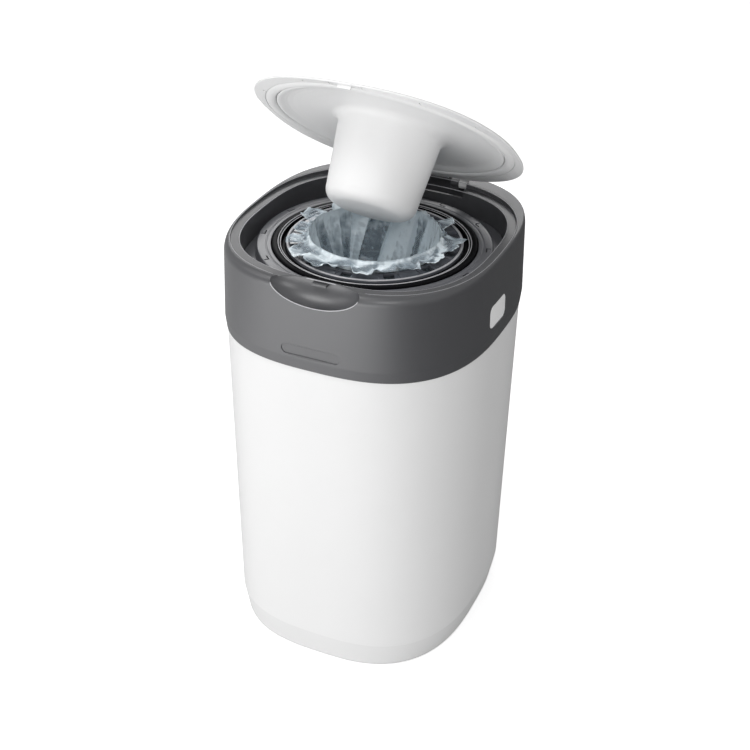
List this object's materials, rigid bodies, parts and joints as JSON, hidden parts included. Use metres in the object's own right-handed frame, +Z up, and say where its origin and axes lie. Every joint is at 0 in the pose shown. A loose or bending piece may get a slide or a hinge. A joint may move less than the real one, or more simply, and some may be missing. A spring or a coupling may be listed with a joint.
{
  "type": "nappy bin",
  "caption": "Tall rounded-square nappy bin with a hinged grey collar, a turntable film cassette and a white lid ajar, whose plunger pushes nappies down.",
  "frame": {"origin": "middle of the bucket's foot on the floor, at the base mount", "axes": "+Z up, the finger scoop at the front faces -Y, +X to the right of a viewer who faces the front"},
  "size_m": [0.254, 0.286, 0.5675],
  "materials": {
    "bucket_white": "satin",
    "lid_white": "satin",
    "collar_grey": "satin",
    "ring_black": "satin",
    "cassette_grey": "satin",
    "film_clear": "gloss",
    "button_white": "satin",
    "steel": "satin"
  },
  "bodies": {
    "bucket": {"bucket_shell": "bucket_white", "collar_hinge_pin": "steel"},
    "collar": {"collar_shell": "collar_grey", "deck": "collar_grey", "retainer_ring": "collar_grey", "retainer_screws": "steel", "gripper_frame": "collar_grey", "gripper_plate": "collar_grey", "gripper_fingers": "cassette_grey", "cutter_body": "cassette_grey", "cutter_blade": "steel", "lid_hinge_pins": "steel"},
    "left_button": {"release_button_left": "button_white"},
    "right_button": {"release_button_right": "button_white"},
    "turntable": {"turntable_ring": "ring_black", "cassette_tub": "cassette_grey", "cassette_core": "cassette_grey", "cassette_cap": "cassette_grey", "film_pack": "film_clear", "film_liner": "film_clear", "film_sleeve": "film_clear", "film_bag": "film_clear", "film_tail": "film_clear"},
    "lid": {"lid_shell": "lid_white", "lid_liner": "lid_white", "lid_latch": "lid_white", "dial_bearing": "ring_black"},
    "dial": {"plunger": "lid_white", "plunger_dish": "lid_white", "twist_dial": "lid_white"}
  },
  "joints": [
    {"name": "collar_hinge", "type": "hinge", "parent": "bucket", "child": "collar", "pos_m": [0, 0.1417, 0.329], "axis": [-1, 0, 0], "range_deg": [0, 75]},
    {"name": "lid_hinge", "type": "hinge", "parent": "collar", "child": "lid", "pos_m": [0, 0.1243, 0.4078], "axis": [-1, 0, 0], "range_deg": [-38.4, 55]},
    {"name": "dial_twist", "type": "hinge", "parent": "lid", "child": "dial", "pos_m": [0, 0.02281, 0.48952], "axis": [0, 0.6211, 0.7837], "continuous": true},
    {"name": "turntable_spin", "type": "hinge", "parent": "collar", "child": "turntable", "pos_m": [0, -0.006, 0.39], "axis": [0, 0, 1], "continuous": true},
    {"name": "left_button_press", "type": "slide", "parent": "collar", "child": "left_button", "axis": [1, 0, 0], "range_m": [0, 0.003], "stiffness_N_per_m": 400, "springref_m": -0.002},
    {"name": "right_button_press", "type": "slide", "parent": "collar", "child": "right_button", "axis": [-1, 0, 0], "range_m": [0, 0.003], "stiffness_N_per_m": 400, "springref_m": -0.002}
  ]
}
